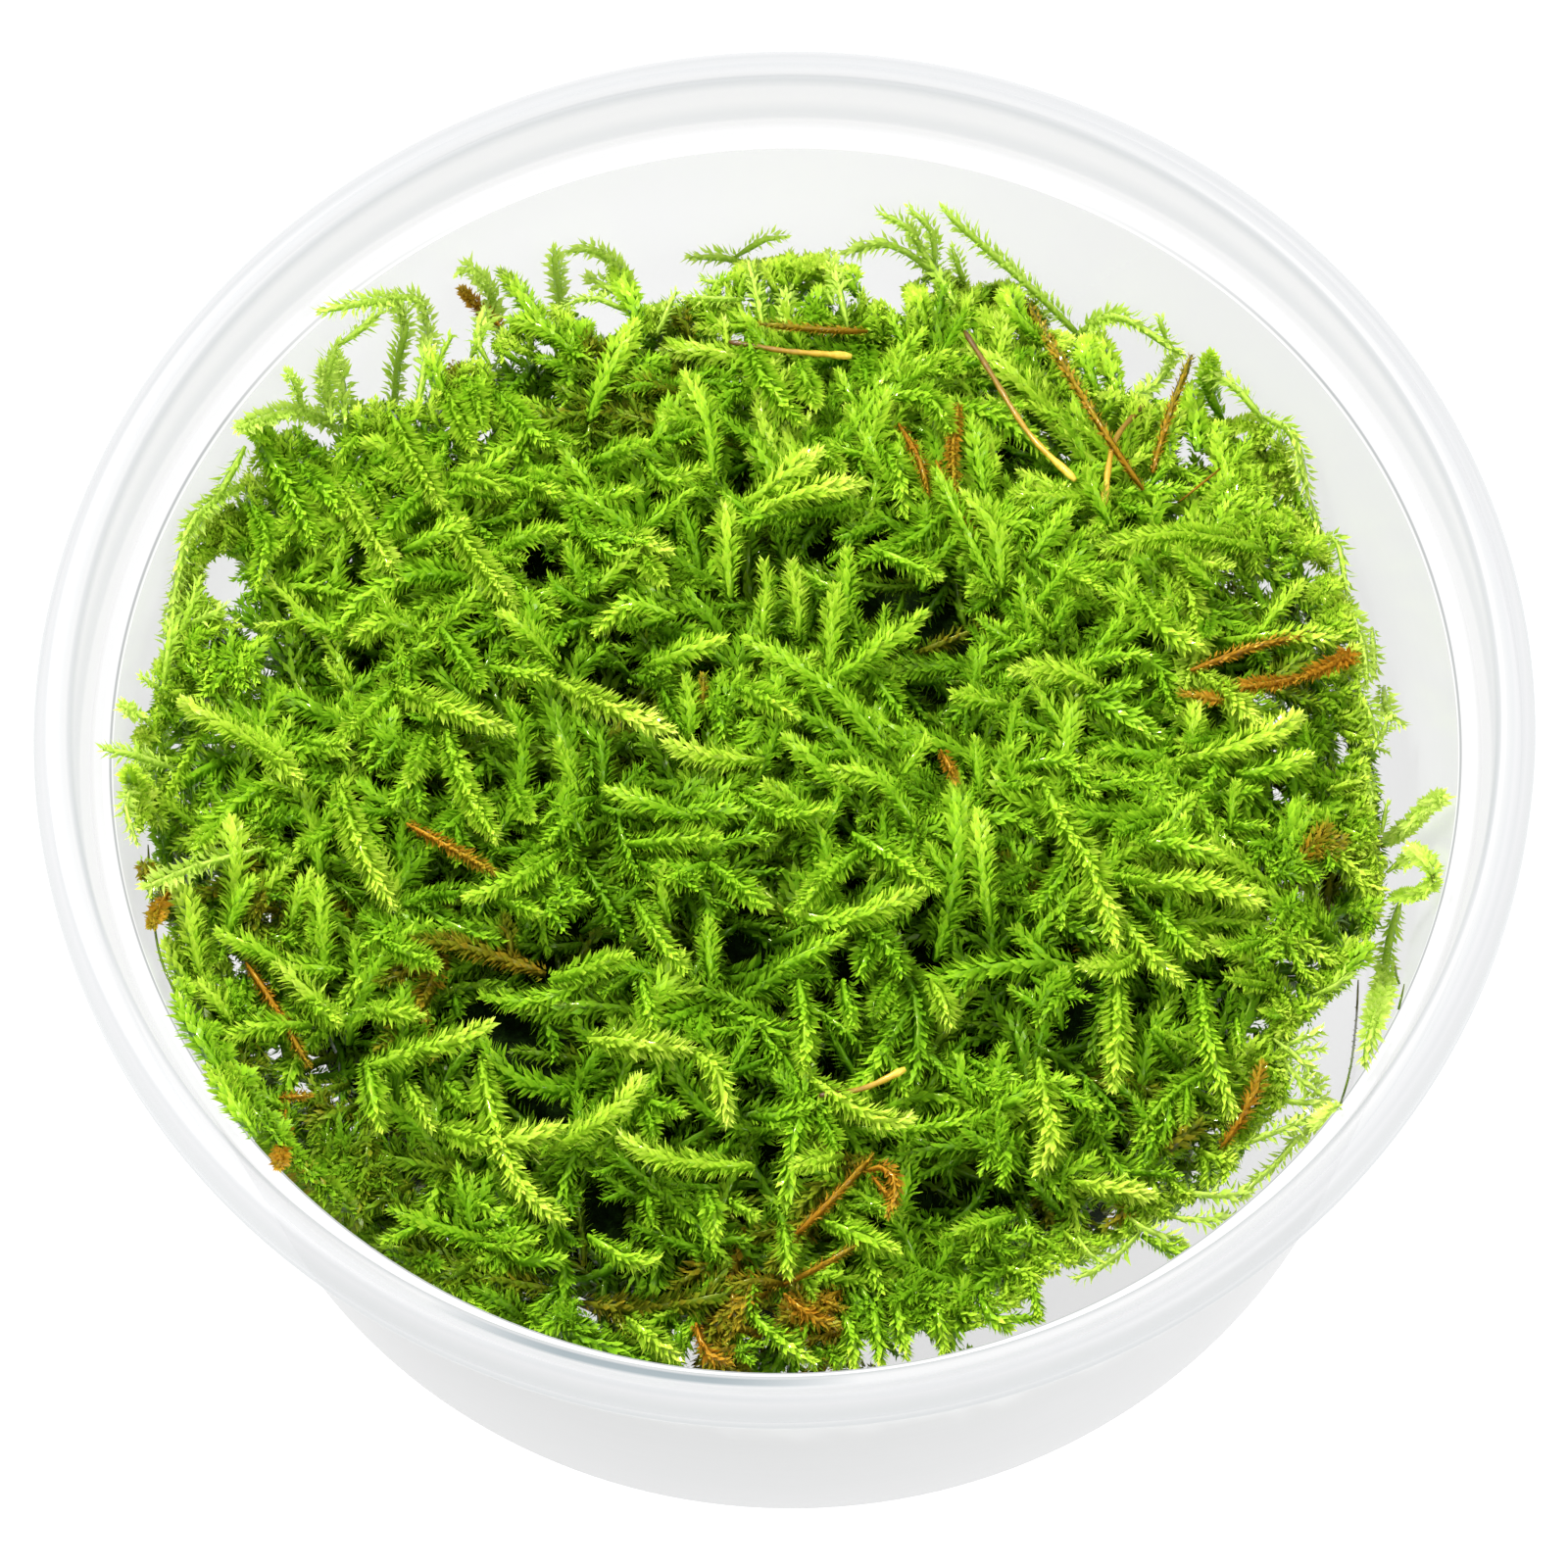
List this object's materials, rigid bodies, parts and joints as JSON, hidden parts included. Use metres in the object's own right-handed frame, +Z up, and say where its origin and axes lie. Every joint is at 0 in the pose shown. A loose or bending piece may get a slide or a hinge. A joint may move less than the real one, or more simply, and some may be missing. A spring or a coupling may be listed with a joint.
{
  "type": "moss clump in a cup",
  "caption": "Clump of leafy green moss, tangled shoots with a few dead brown stems, sitting in a round low clear plastic cup with a rolled rim.",
  "frame": {"origin": "middle of the cup's foot, on the surface that it stands on", "axes": "+Z up out of the cup's mouth, -Y towards the side that the picture looks from, +X to the picture's right"},
  "size_m": [0.101, 0.101, 0.0444],
  "materials": {
    "milky_plastic": "moulded milky clear polypropylene, softly glossy",
    "moss_green": "wet leafy moss, mid to deep green",
    "young_moss_green": "wet leafy moss, bright yellow green young shoots",
    "dead_brown": "dead orange brown moss stems, dull"
  },
  "bodies": {
    "root": {"cup": "milky_plastic", "moss_mat": "moss_green", "loose_shoot_1": "young_moss_green", "loose_shoot_2": "young_moss_green", "loose_shoot_3": "young_moss_green", "loose_shoot_4": "young_moss_green", "loose_shoot_5": "young_moss_green", "loose_shoot_6": "young_moss_green", "loose_shoot_7": "young_moss_green", "loose_shoot_8": "young_moss_green", "loose_shoot_9": "young_moss_green", "loose_shoot_10": "young_moss_green", "loose_shoot_11": "young_moss_green", "loose_shoot_12": "young_moss_green", "loose_shoot_13": "young_moss_green", "loose_shoot_14": "young_moss_green", "loose_shoot_15": "young_moss_green", "loose_shoot_16": "young_moss_green", "dead_stem_1": "dead_brown", "dead_stem_2": "dead_brown", "dead_stem_3": "dead_brown", "dead_stem_4": "dead_brown", "dead_stem_5": "dead_brown", "dead_stem_6": "dead_brown", "dead_stem_7": "dead_brown", "dead_stem_8": "dead_brown"}
  },
  "joints": []
}
